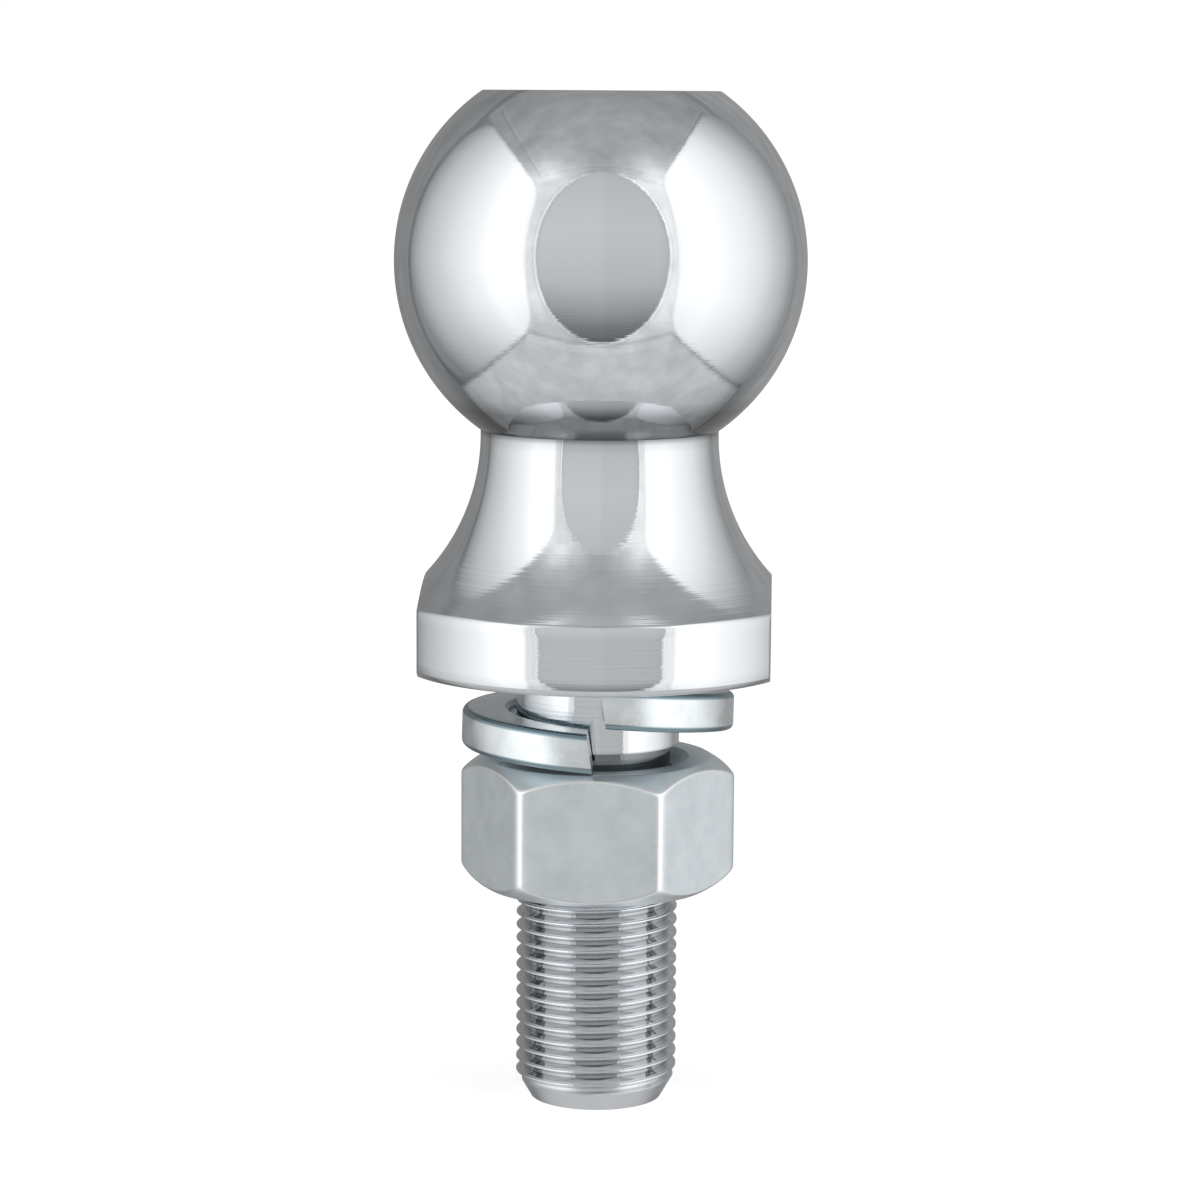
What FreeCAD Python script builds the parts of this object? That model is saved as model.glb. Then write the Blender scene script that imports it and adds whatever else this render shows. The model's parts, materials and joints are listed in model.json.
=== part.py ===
"""Threaded tow ball: a ball, neck, flange and threaded shank forged and turned in one piece, with
its spring lock washer and its hexagon nut. Millimetres, +Z up, origin at the centre of the shank's
lower end. The flange has two wrench flats, which face -X and +X, and the washer's split is at the
front, towards -Y. Heights build up from the shank's end to the ball, and down from the flange
through the washer to the nut."""

import FreeCAD, Part
import math
import os
from FreeCAD import Vector

# Ball
ball_diameter = 47.625            # 1 7/8 in coupling size
top_flat_diameter = 27.3          # where the flat meets the sphere, before its edge is rounded
top_edge_radius = 0.5

# Neck and its concave flare down to the flange
neck_diameter = 27.62
neck_straight_length = 0.6        # between the flare and the ball
flare_radius = 24.0

# Flange
wrench_flat_width = 40.3          # across the two flats
rim_beyond_flats = 3.25           # how far the round rim stands out past each flat
rim_height = 7.9
rim_edge_chamfer = 0.7

# Shank and its thread, sixteen threads per inch
shank_diameter = 19.05            # 3/4 in
shank_length = 51.4
shank_root_chamfer = 0.6           # into the flange
thread_pitch = 1.5875
thread_allowance = 0.065          # radial, from the plain shank down to the crests
relief_pitches = 2.0              # width of the groove above the thread, in pitches
relief_depth = 0.95               # below the crests
relief_runout_angle = 45.0
point_depth = 1.75                # of the end chamfer, below the crests
point_angle = 30.0                # of the end chamfer, from the axis

# Spring lock washer
washer_bore_clearance = 0.75      # radial, around the plain shank
washer_width = 5.6                # radial width of the section
washer_thickness = 4.5
washer_turn_gap = 0.75            # between the coil's two ends, one above the other
washer_corner_chamfer = 0.46
washer_split_gap = 0.5            # between the ends, along the coil
washer_cut_angle = 10.0           # slant of both ends from upright
washer_split_turn = 2.1           # degrees, of the split from -Y towards +X
washer_tilt = 3.6                 # degrees, as it stands between the nut and the flange
washer_tilt_turn = 22.0           # degrees, of its highest side from -Y towards -X
washer_play = 0.25                # from its upper end to the flange

# Hexagon nut
nut_width = 28.25                 # across flats
nut_height = 15.25
nut_chamfer_angle = 30.0
nut_chamfer_inset = 0.85          # from the flats in to the bearing ring
nut_thread_clearance = 0.05       # radial, between the bore and the crests
nut_countersink = 1.2             # radial and in depth, at both mouths of the bore
nut_seat_gap = 0.3                # below the washer's lower end
nut_shoulder_gap = 1.73           # from its upper face to the plain shank
nut_face_turn = -0.8              # degrees, of the front face from -Y towards +X

# What follows from those sizes
ball_radius = ball_diameter / 2
neck_radius = neck_diameter / 2
rim_radius = wrench_flat_width / 2 + rim_beyond_flats
shank_radius = shank_diameter / 2
thread_radius = shank_radius - thread_allowance
rim_top = shank_length + rim_height
flare_top = rim_top + math.sqrt(flare_radius**2 - (flare_radius - rim_radius + neck_radius) ** 2)
neck_top = flare_top + neck_straight_length
ball_centre = neck_top + math.sqrt(ball_radius**2 - neck_radius**2)
washer_inner_radius = shank_radius + washer_bore_clearance
washer_outer_radius = washer_inner_radius + washer_width
washer_lead = washer_thickness + washer_turn_gap
washer_lift = math.sin(math.radians(washer_tilt)) * math.cos(math.radians(washer_tilt_turn))
coil_top = shank_length - washer_play - washer_outer_radius * washer_lift
coil_bottom = coil_top - washer_thickness - washer_lead
nut_top = coil_bottom + washer_inner_radius * washer_lift - nut_seat_gap
nut_bottom = nut_top - nut_height
plain_shank_end = nut_top + nut_shoulder_gap


def point(radius, height):
    """A point of a turned profile, drawn in the XZ plane."""
    return Vector(radius, 0, height)


def polar(centre, radius, angle):
    """The point of an arc at an angle in radians above the outward horizontal."""
    return centre + Vector(radius * math.cos(angle), 0, radius * math.sin(angle))


def outline(corners):
    """A closed wire through named points in order: straight edges, with an arc through each
    point whose name ends in middle."""
    names = list(corners)
    edges = []
    for i, name in enumerate(names):
        if name.endswith("middle"):
            continue
        following = names[(i + 1) % len(names)]
        if following.endswith("middle"):
            arc_end = corners[names[(i + 2) % len(names)]]
            edges.append(Part.Arc(corners[name], corners[following], arc_end).toShape())
        else:
            edges.append(Part.LineSegment(corners[name], corners[following]).toShape())
    return Part.Wire(edges)


def turned(wire):
    """A solid of revolution about Z from a closed profile in the XZ plane."""
    return Part.Face(wire).revolve(Vector(0, 0, 0), Vector(0, 0, 1), 360)


def prism(corners, direction):
    """A straight solid from a closed flat outline, pushed along a direction."""
    return Part.Face(Part.makePolygon(corners + corners[:1])).extrude(direction)


def make_tow_ball():
    top_flat_radius = top_flat_diameter / 2
    top = ball_centre + math.sqrt(ball_radius**2 - top_flat_radius**2)
    # The top edge is rounded by an arc that meets both the sphere and the flat without a corner
    rounding_height = top - top_edge_radius
    rounding_centre = point(
        math.sqrt((ball_radius - top_edge_radius) ** 2 - (rounding_height - ball_centre) ** 2),
        rounding_height,
    )
    ball_end_angle = math.atan2(rounding_height - ball_centre, rounding_centre.x)

    flare_centre = point(neck_radius + flare_radius, flare_top)
    flare_turn = math.asin((flare_top - rim_top) / flare_radius)
    relief_radius = thread_radius - relief_depth
    relief_bottom = plain_shank_end - relief_pitches * thread_pitch
    thread_end = relief_bottom - relief_depth / math.tan(math.radians(relief_runout_angle))
    point_height = point_depth / math.tan(math.radians(point_angle))

    body = turned(outline({
        "end centre": point(0, 0),
        "point": point(thread_radius - point_depth, 0),
        "thread start": point(thread_radius, point_height),
        "thread end": point(thread_radius, thread_end),
        "relief bottom": point(relief_radius, relief_bottom),
        "relief top": point(relief_radius, plain_shank_end),
        "plain shank end": point(shank_radius, plain_shank_end),
        "root start": point(shank_radius, shank_length - shank_root_chamfer),
        "root end": point(shank_radius + shank_root_chamfer, shank_length),
        "underside edge": point(rim_radius - rim_edge_chamfer, shank_length),
        "rim bottom": point(rim_radius, shank_length + rim_edge_chamfer),
        "rim top": point(rim_radius, rim_top),
        "flare middle": polar(flare_centre, flare_radius, math.pi + flare_turn / 2),
        "flare top": point(neck_radius, flare_top),
        "neck top": point(neck_radius, neck_top),
        "ball middle": point(ball_radius, ball_centre),
        "ball end": polar(point(0, ball_centre), ball_radius, ball_end_angle),
        "rounding middle": polar(rounding_centre, top_edge_radius, (ball_end_angle + math.pi / 2) / 2),
        "top edge": point(rounding_centre.x, top),
        "top centre": point(0, top),
    }))

    # Each flat is milled off the rim and the foot of the flare, from below the flange upwards
    for side in (-1, 1):
        near, far = side * wrench_flat_width / 2, side * (rim_radius + 1)
        body = body.cut(prism(
            [
                Vector(near, -rim_radius, shank_length - 1),
                Vector(far, -rim_radius, shank_length - 1),
                Vector(far, rim_radius, shank_length - 1),
                Vector(near, rim_radius, shank_length - 1),
            ],
            Vector(0, 0, flare_top - shank_length + 1),
        ))
    return body


def make_spring_washer():
    """One left-handed coil of square section with its corners taken off, cut through on a slant.
    It stands with its front raised a little, held by its two ends."""
    mean_radius = washer_inner_radius + washer_width / 2
    outer_radius = washer_outer_radius
    split_angle = math.degrees(washer_split_gap / mean_radius)
    turns = 1 - split_angle / 360
    section_top = coil_bottom + washer_thickness
    corner = washer_corner_chamfer
    section = outline({
        "foot inner": point(washer_inner_radius + corner, coil_bottom),
        "foot outer": point(outer_radius - corner, coil_bottom),
        "outside low": point(outer_radius, coil_bottom + corner),
        "outside high": point(outer_radius, section_top - corner),
        "head outer": point(outer_radius - corner, section_top),
        "head inner": point(washer_inner_radius + corner, section_top),
        "inside high": point(washer_inner_radius, section_top - corner),
        "inside low": point(washer_inner_radius, coil_bottom + corner),
    })
    path = Part.makeHelix(washer_lead, washer_lead * turns, mean_radius, 0, True)
    path.translate(Vector(0, 0, coil_bottom + washer_thickness / 2))
    coil = Part.Wire(path).makePipeShell([section], True, True)

    # A slanted blade leaves both ends leaning the same way: it takes a wedge off the top of the
    # lower end, and one off the foot of the upper end
    slant = math.tan(math.radians(washer_cut_angle))
    between = section_top + washer_turn_gap / 2
    upper_end_top = coil_bottom + washer_lead * turns + washer_thickness
    lower_wedge = end_wedge(outer_radius, coil_bottom, between, -slant, 1)
    upper_wedge = end_wedge(outer_radius, upper_end_top, between, -slant, -1)
    upper_wedge.rotate(Vector(0, 0, 0), Vector(0, 0, 1), split_angle)
    coil = coil.cut(lower_wedge).cut(upper_wedge)
    coil.rotate(Vector(0, 0, 0), Vector(0, 0, 1), washer_split_turn - 90 - split_angle / 2)
    high_side = math.radians(washer_tilt_turn)
    middle = Vector(0, 0, (coil_bottom + coil_top) / 2)
    coil.rotate(middle, Vector(-math.cos(high_side), math.sin(high_side), 0), washer_tilt)
    return coil


def end_wedge(outer_radius, tip_height, base_height, slant, side):
    """What the blade takes off an end that lies in the XZ plane on the +X side: nothing at
    tip_height, and more towards base_height. side is +1 or -1, the Y side that it lies on."""
    over = 1.0
    reach = slant * (base_height - tip_height)
    corners = [
        Vector(0, 0, tip_height),
        Vector(0, reach, base_height),
        Vector(0, side * over, base_height),
        Vector(0, side * over, tip_height),
    ]
    return prism(corners, Vector(outer_radius + over, 0, 0))


def make_hex_nut():
    corner_radius = nut_width / math.sqrt(3)
    bearing_radius = nut_width / 2 - nut_chamfer_inset
    outside = corner_radius + 1
    drop = (outside - bearing_radius) * math.tan(math.radians(nut_chamfer_angle))
    bore_radius = thread_radius + nut_thread_clearance
    mouth_radius = bore_radius + nut_countersink

    corner_angles = [math.radians(60 * i) for i in range(6)]
    blank = prism(
        [Vector(corner_radius * math.cos(a), corner_radius * math.sin(a), nut_bottom) for a in corner_angles],
        Vector(0, 0, nut_height),
    )
    chamfers = turned(outline({
        "bottom centre": point(0, nut_bottom),
        "bottom ring": point(bearing_radius, nut_bottom),
        "bottom outside": point(outside, nut_bottom + drop),
        "top outside": point(outside, nut_top - drop),
        "top ring": point(bearing_radius, nut_top),
        "top centre": point(0, nut_top),
    }))
    bore = turned(outline({
        "bottom centre": point(0, nut_bottom),
        "bottom mouth": point(mouth_radius, nut_bottom),
        "bore bottom": point(bore_radius, nut_bottom + nut_countersink),
        "bore top": point(bore_radius, nut_top - nut_countersink),
        "top mouth": point(mouth_radius, nut_top),
        "top centre": point(0, nut_top),
    }))
    nut = blank.common(chamfers).cut(bore)
    nut.rotate(Vector(0, 0, 0), Vector(0, 0, 1), nut_face_turn)
    return nut


def main():
    os.makedirs("parts", exist_ok=True)
    nodes = {
        "tow_ball": make_tow_ball(),
        "spring_washer": make_spring_washer(),
        "hex_nut": make_hex_nut(),
    }
    for name, shape in nodes.items():
        print(f"{name}: {len(shape.Solids)} solid, valid {shape.isValid()}, {shape.Volume:.1f} mm3")
        shape.exportStep(f"parts/{name}.step")


main()
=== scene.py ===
"""Threaded tow ball, dressed for rendering: a chrome-plated ball, neck, flange and threaded shank
in one piece, a zinc-plated spring lock washer and a zinc-plated hexagon nut. Metres, +Z up, with
the origin at the centre of the shank's lower end."""

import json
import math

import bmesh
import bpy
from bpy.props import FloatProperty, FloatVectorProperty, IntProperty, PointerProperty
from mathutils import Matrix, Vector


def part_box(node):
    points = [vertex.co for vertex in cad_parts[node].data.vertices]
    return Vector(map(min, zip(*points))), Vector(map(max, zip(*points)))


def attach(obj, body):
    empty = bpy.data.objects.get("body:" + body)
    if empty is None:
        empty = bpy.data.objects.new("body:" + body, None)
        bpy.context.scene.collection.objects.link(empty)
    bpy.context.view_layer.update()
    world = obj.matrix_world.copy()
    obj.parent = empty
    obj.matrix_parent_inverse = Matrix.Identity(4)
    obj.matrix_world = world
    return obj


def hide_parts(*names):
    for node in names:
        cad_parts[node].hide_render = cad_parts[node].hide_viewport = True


bl_info = {
    "name": "Threaded Tow Ball",
    "version": (1, 0, 0),
    "blender": (4, 5, 0),
    "location": "3D View > Sidebar > Tow Ball",
    "description": "Builds a chrome-plated tow ball with its spring washer and hexagon nut",
    "category": "Add Mesh",
}

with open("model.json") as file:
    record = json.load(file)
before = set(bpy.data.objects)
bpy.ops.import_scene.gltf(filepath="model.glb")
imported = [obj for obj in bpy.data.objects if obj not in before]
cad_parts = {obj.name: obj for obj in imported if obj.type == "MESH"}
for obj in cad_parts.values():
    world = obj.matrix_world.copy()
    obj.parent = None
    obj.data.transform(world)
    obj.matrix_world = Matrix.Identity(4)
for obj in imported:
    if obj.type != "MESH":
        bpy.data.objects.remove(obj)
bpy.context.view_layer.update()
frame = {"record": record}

MM = 0.001
TURN = 2 * math.pi
POINT_SLOPE = math.tan(math.radians(60))  # of the cone at the shank's end, from its end face
CAMERA_SIDE = math.radians(2.85)  # of the camera from the front towards +X
mounts = {mount["name"]: mount for mount in frame["record"]["mounts"]}


# Colours and properties

def linear(colour):
    """The linear RGBA of an sRGB colour written as #rrggbb."""
    channels = [int(colour[i:i + 2], 16) / 255 for i in (1, 3, 5)]
    levels = [c / 12.92 if c <= 0.04045 else ((c + 0.055) / 1.055) ** 2.4 for c in channels]
    return (*levels, 1.0)


def length(name, description, millimetres):
    return FloatProperty(
        name=name, description=description, default=millimetres * MM, min=0, precision=5,
        unit="LENGTH",
    )


def colour(name, description, value):
    return FloatVectorProperty(
        name=name, description=description, default=linear(value), size=4, min=0, max=1,
        subtype="COLOR",
    )


class TowBallSizes(bpy.types.PropertyGroup):
    """The forging: ball, neck, flange and shank"""
    ball_radius: length("Ball radius", "Of the coupling ball", mounts["ball"]["dims"]["r_mm"])
    top_flat_radius: length("Top flat radius", "Where the flat meets the sphere", 13.65)
    top_edge_radius: length("Top edge radius", "Rounding between the flat and the sphere", 0.5)
    neck_radius: length("Neck radius", "Under the ball", 13.81)
    neck_height: length("Neck height", "Straight neck between the flare and the ball", 0.6)
    flare_radius: length("Flare radius", "Of the hollow curve from the neck down to the flange", 24.0)
    flat_distance: length("Flat distance", "From the axis to each wrench flat", 20.15)
    rim_radius: length("Rim radius", "Of the flange", 23.4)
    rim_height: length("Rim height", "Of the flange's upright edge", 7.9)
    rim_chamfer: length("Rim chamfer", "At the flange's lower edge", 0.7)
    rim_rounding: length("Rim rounding", "At the flange's upper edge", 0.22)
    root_chamfer: length("Root chamfer", "Between the shank and the flange", 0.6)
    shank_length: length("Shank length", "From the shank's end to the flange", 51.4)
    shank_radius: length("Shank radius", "Of the plain shank", mounts["flange_seat"]["dims"]["r_mm"])
    shank_plain_from: length("Plain shank from", "Height at which the thread's relief ends", 42.5)
    thread_radius: length("Thread radius", "Over the crests", mounts["shank_thread"]["dims"]["r_mm"])
    thread_pitch: length("Thread pitch", "Sixteen threads per inch", 1.5875)
    thread_depth: length("Thread depth", "From crest to root", 0.97)
    thread_start: length("Thread start", "Height of a crest on the +X side, less whole pitches", 0.625)
    relief_radius: length("Relief radius", "Of the groove above the thread", 8.51)
    relief_from: length("Relief from", "Height at which the groove has its full depth", 39.325)
    point_radius: length("Point radius", "Of the shank's end face", 7.71)
    columns: IntProperty(name="Columns", description="Faces round the axis", default=192, min=24)


class WasherSizes(bpy.types.PropertyGroup):
    """The spring lock washer"""
    inner_radius: length("Inner radius", "Of the coil", 10.275)
    width: length("Width", "Of the section, across the coil", 5.6)
    thickness: length("Thickness", "Of the section", 4.5)
    lead: length("Lead", "Rise of one whole turn", 5.25)
    corner_radius: length("Corner radius", "Rounding of the section", 0.75)
    split_gap: length("Split gap", "Between the two ends", 0.5)
    split_turn: FloatProperty(
        name="Split turn", description="Of the split from the front towards +X",
        default=math.radians(2.1), subtype="ANGLE",
    )
    cut_angle: FloatProperty(
        name="Cut angle", description="Slant of both ends from upright", default=math.radians(10),
        subtype="ANGLE",
    )
    middle_height: length("Middle height", "Of the coil before it tilts", 45.3508)
    tilt: FloatProperty(
        name="Tilt", description="Of the coil between the nut and the flange",
        default=math.radians(3.6), subtype="ANGLE",
    )
    tilt_turn: FloatProperty(
        name="Tilt turn", description="Of its highest side from the front towards -X",
        default=math.radians(22), subtype="ANGLE",
    )


class NutSizes(bpy.types.PropertyGroup):
    """The hexagon nut"""
    width: length("Width", "Across flats", 28.25)
    chamfer_inset: length("Chamfer inset", "From the flats in to the bearing ring", 0.85)
    chamfer_depth: length("Chamfer depth", "Height of the rounded chamfers at the corners", 2.2)
    chamfer_angle: FloatProperty(
        name="Chamfer angle", description="Between the chamfer's foot and the bearing face",
        default=math.radians(30), subtype="ANGLE",
    )
    edge_softness: length("Edge softness", "Rounding where the chamfer meets a flat", 0.22)
    corner_reach: length("Corner reach", "From the axis to the facets along the corners", 16.13)
    countersink: length("Countersink", "Depth and width of the bore's mouths", 1.2)
    thread_clearance: length("Thread clearance", "Between the nut's thread and the shank's", 0.05)
    face_turn: FloatProperty(
        name="Face turn", description="Of the front flat towards +X", default=math.radians(-0.8),
        subtype="ANGLE",
    )


class Finishes(bpy.types.PropertyGroup):
    """Colours of the metals and of the stage"""
    chrome: colour("Chrome", "Bright chrome plate", "#e4e7ea")
    washer_zinc: colour("Washer zinc", "Bright zinc plate of the washer", "#f6fcfe")
    nut_zinc: colour("Nut zinc", "Dull zinc plate of the nut", "#f2fafe")
    # Painted shade on the washer's rounded corners, darker than its zinc
    edge_shade: colour("Edge shade", "Zinc of the washer's rounded corners", "#94abb2")
    bare_edge: colour("Bare edge", "Zinc rubbed bright along an edge", "#f6f8f8")
    floor: colour("Floor", "Pale plain floor", "#f4f4f3")


def forging_heights(sizes):
    """Heights of the flange's top, the flare's top, the neck's top and the ball's centre."""
    rim_top = sizes.shank_length + sizes.rim_height
    flare_reach = sizes.flare_radius - sizes.rim_radius + sizes.neck_radius
    flare_top = rim_top + math.sqrt(sizes.flare_radius**2 - flare_reach**2)
    neck_top = flare_top + sizes.neck_height
    ball_centre = neck_top + math.sqrt(sizes.ball_radius**2 - sizes.neck_radius**2)
    return rim_top, flare_top, neck_top, ball_centre


# Mesh tools

class Turning:
    """A mesh turned about Z. Stretches that meet at the same radius and height share corners."""

    def __init__(self, angles):
        self.mesh = bmesh.new()
        self.angles = angles
        self.corners = {}

    def corner(self, column, radius, height):
        column %= len(self.angles)
        key = (column, round(radius, 8), round(height, 8))
        if key not in self.corners:
            angle = self.angles[column]
            place = (radius * math.cos(angle), radius * math.sin(angle), height)
            self.corners[key] = self.mesh.verts.new(place)
        return self.corners[key]

    def face(self, corners):
        """A face of the corners that differ, or none where they close up."""
        kept = list(dict.fromkeys(corners))
        if len(kept) > 2:
            self.mesh.faces.new(kept)

    def skin(self, row_at, rows):
        """Faces between rows of (radius, height), where row_at(column, row) gives each."""
        count = len(self.angles)
        for column in range(count):
            over = column + 1
            for row in range(rows - 1):
                self.face([
                    self.corner(column, *row_at(column, row)),
                    self.corner(over, *row_at(over, row)),
                    self.corner(over, *row_at(over, row + 1)),
                    self.corner(column, *row_at(column, row + 1)),
                ])

    def turn(self, profile):
        """Faces of a profile of (radius, height) points, from the lowest outside point upwards."""
        self.skin(lambda column, row: profile[row], len(profile))

    def disc(self, radius, height, facing):
        """A flat face that closes the shape at a ring, facing up (1) or down (-1)."""
        ring = [self.corner(column, radius, height) for column in range(len(self.angles))]
        self.mesh.faces.new(ring[::facing])


def arc(centre, radius, start, end, steps):
    """Points of an arc in a profile, from one angle in degrees to another."""
    angles = [math.radians(start + (end - start) * i / steps) for i in range(steps + 1)]
    return [(centre[0] + radius * math.cos(a), centre[1] + radius * math.sin(a)) for a in angles]


def line(start, end, steps):
    """Points of a straight stretch of a profile."""
    return [
        tuple(a + (b - a) * i / steps for a, b in zip(start, end))
        for i in range(steps + 1)
    ]


# Places of a thread's rows in one pitch: the crest, a flank, the root and the other flank
THREAD_ROWS = [0, 0.045, 0.09, 0.17, 0.25, 0.33, 0.40, 0.5, 0.60, 0.67, 0.75, 0.83, 0.91, 0.955]


def thread_form(phase):
    """Depth of a sixty-degree thread at a place in its pitch: 0 at the crest, 1 at the root."""
    from_crest = abs(phase - round(phase))
    crest, root = 0.07, 0.38
    return min(max((from_crest - crest) / (root - crest), 0), 1)


def helical_skin(turning, pitch, start, low, high, radius_at):
    """A thread's surface between two heights. Its rows follow the right-hand helix, and
    radius_at(depth, height) shapes it."""
    count = len(turning.angles)
    first = math.floor((low - start) / pitch) - 1
    last = math.ceil((high - start) / pitch) + 1
    phases = [turn + part for turn in range(first, last) for part in THREAD_ROWS]

    def row_at(column, row):
        turned = turning.angles[column % count] / TURN + column // count
        height = start + pitch * (phases[row] + turned)
        height = min(max(height, low), high)
        depth = thread_form((height - start) / pitch - turned)
        return radius_at(depth, height), height

    turning.skin(row_at, len(phases))


def add_piece(name, mesh, body, node, material, sharp_angle=35):
    """Puts a finished mesh in the scene, smooth but for its sharp edges, in place of a solid."""
    bmesh.ops.recalc_face_normals(mesh, faces=mesh.faces)
    data = bpy.data.meshes.new(name)
    mesh.to_mesh(data)
    mesh.free()
    data.shade_smooth()
    data.set_sharp_from_angle(angle=math.radians(sharp_angle))
    data.materials.append(material)
    piece = bpy.data.objects.new(name, data)
    bpy.context.collection.objects.link(piece)
    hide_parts(node)
    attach(piece, body)
    return piece


# Materials

def add_node(tree, kind, settings=None, links=None):
    """Adds a node, sets its properties, then sets or links its inputs by name or number. A link is
    another node, whose first output it takes, or one of its output sockets."""
    node = tree.nodes.new(kind)
    for name, value in (settings or {}).items():
        setattr(node, name, value)
    for name, value in (links or {}).items():
        if isinstance(value, bpy.types.Node):
            value = value.outputs[0]
        if isinstance(value, bpy.types.NodeSocket):
            tree.links.new(value, node.inputs[name])
        else:
            node.inputs[name].default_value = value
    return node


def greys(tree, value, stops):
    """A ramp of greys along a value, from (value, grey) stops."""
    low, high = stops[0][0], stops[-1][0]
    level = add_node(tree, "ShaderNodeMapRange", links={
        "Value": value, "From Min": low, "From Max": high,
    })
    ramp = add_node(tree, "ShaderNodeValToRGB", links={"Fac": level})
    elements = ramp.color_ramp.elements
    for _ in stops[2:]:
        elements.new(0.5)
    for element, (place, grey) in zip(elements, stops):
        element.position = (place - low) / (high - low)
        element.color = (grey, grey, grey, 1)
    return ramp


def new_material(name):
    """An empty node material and its tree."""
    material = bpy.data.materials.new(name)
    material.use_nodes = True
    material.node_tree.nodes.clear()
    return material, material.node_tree


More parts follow.
